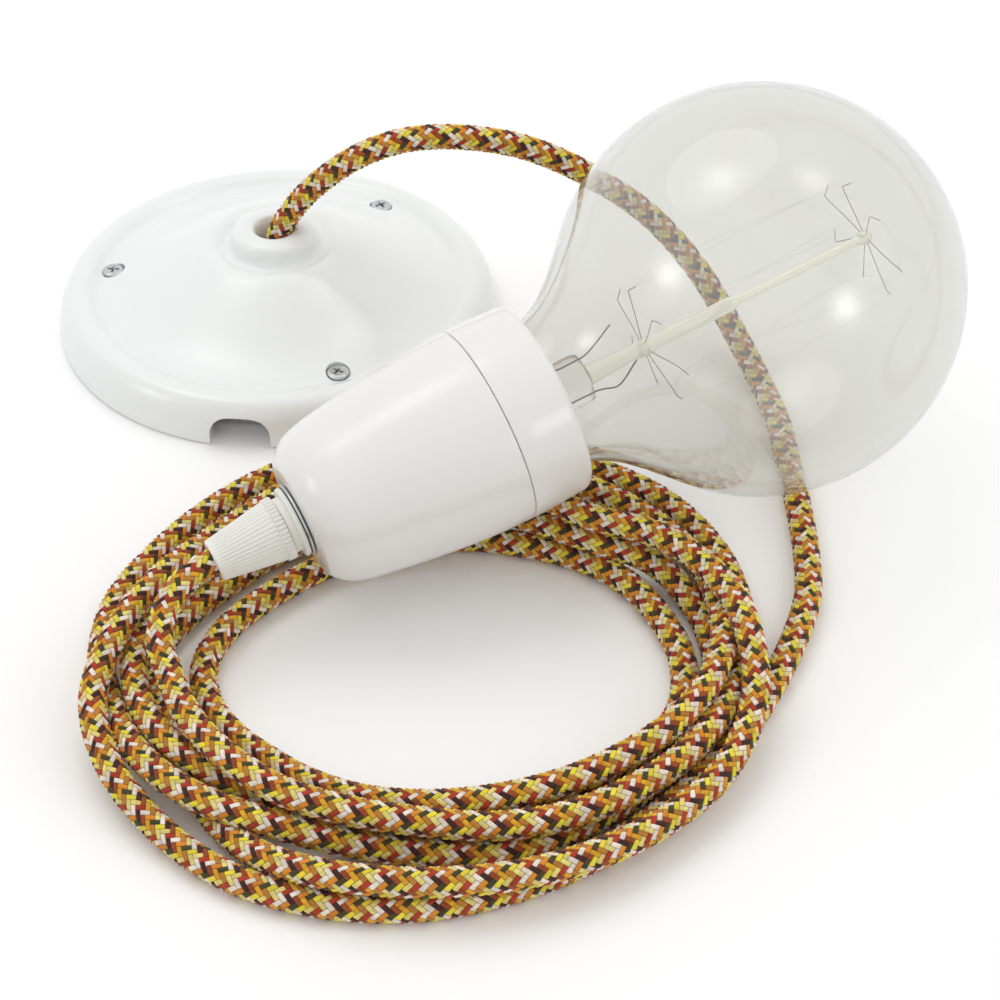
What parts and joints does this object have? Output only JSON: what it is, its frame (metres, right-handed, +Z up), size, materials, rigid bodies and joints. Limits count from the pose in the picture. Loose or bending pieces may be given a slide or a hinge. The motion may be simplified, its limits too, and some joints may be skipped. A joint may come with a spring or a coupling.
{
  "type": "pendant lamp cord set",
  "caption": "Pendant lamp cord set: a screw-fixed dome ceiling rose, a coiled braided cord and a screw lamp holder that carries a clear globe bulb.",
  "frame": {"origin": "on the surface that the set lies on, under the middle of the box around the ceiling rose, the lamp holder and the bulb, without the cord", "axes": "+Z up from the surface, +X along the longest side of that box from the ceiling rose towards the bulb's end, +Y from the coil towards the ceiling rose"},
  "size_m": [0.2214, 0.2701, 0.1011],
  "materials": {
    "porcelain": "glazed, glossy",
    "insert_ceramic": "unglazed, matte",
    "cream_plastic": "satin",
    "white_plastic": "satin",
    "zinc_steel": "zinc plated, slightly dull",
    "brass": "bare, slightly dull",
    "nickel_sheet": "satin",
    "black_glass": "glossy",
    "wire_metal": "dull grey wire",
    "clear_glass": "clear",
    "brown_sleeve": "satin",
    "blue_sleeve": "satin",
    "braid": "woven, in several colours"
  },
  "bodies": {
    "root": {"ceiling_rose": "porcelain", "holder_dome": "porcelain", "holder_skirt": "porcelain", "holder_insert": "insert_ceramic", "grip_base": "cream_plastic", "grip_cap": "cream_plastic", "rose_cord_clamp": "white_plastic", "rose_clamp_screw": "white_plastic", "rose_terminal_block": "white_plastic", "rose_screw_1": "zinc_steel", "rose_screw_2": "zinc_steel", "rose_screw_3": "zinc_steel", "rose_bracket": "zinc_steel", "metal_washer": "zinc_steel", "lock_nut": "zinc_steel", "rose_terminal_screw_live": "zinc_steel", "rose_terminal_screw_neutral": "zinc_steel", "holder_terminal_screw_live": "zinc_steel", "holder_terminal_screw_neutral": "zinc_steel", "screw_shell": "brass", "centre_contact": "brass", "holder_terminal_live": "brass", "holder_terminal_neutral": "brass", "rose_terminal_live": "brass", "rose_terminal_neutral": "brass", "cap_contact": "brass", "bulb_cap": "nickel_sheet", "cap_insulator": "black_glass", "lead_wire_1": "wire_metal", "lead_wire_2": "wire_metal", "lower_support": "wire_metal", "upper_support": "wire_metal", "filament": "wire_metal", "bulb_glass": "clear_glass", "bulb_stem": "clear_glass", "rose_core_live": "brown_sleeve", "holder_core_live": "brown_sleeve", "rose_core_neutral": "blue_sleeve", "holder_core_neutral": "blue_sleeve", "cord_rise": "braid", "cord_tail": "braid", "cord_coil": "braid"}
  },
  "joints": []
}
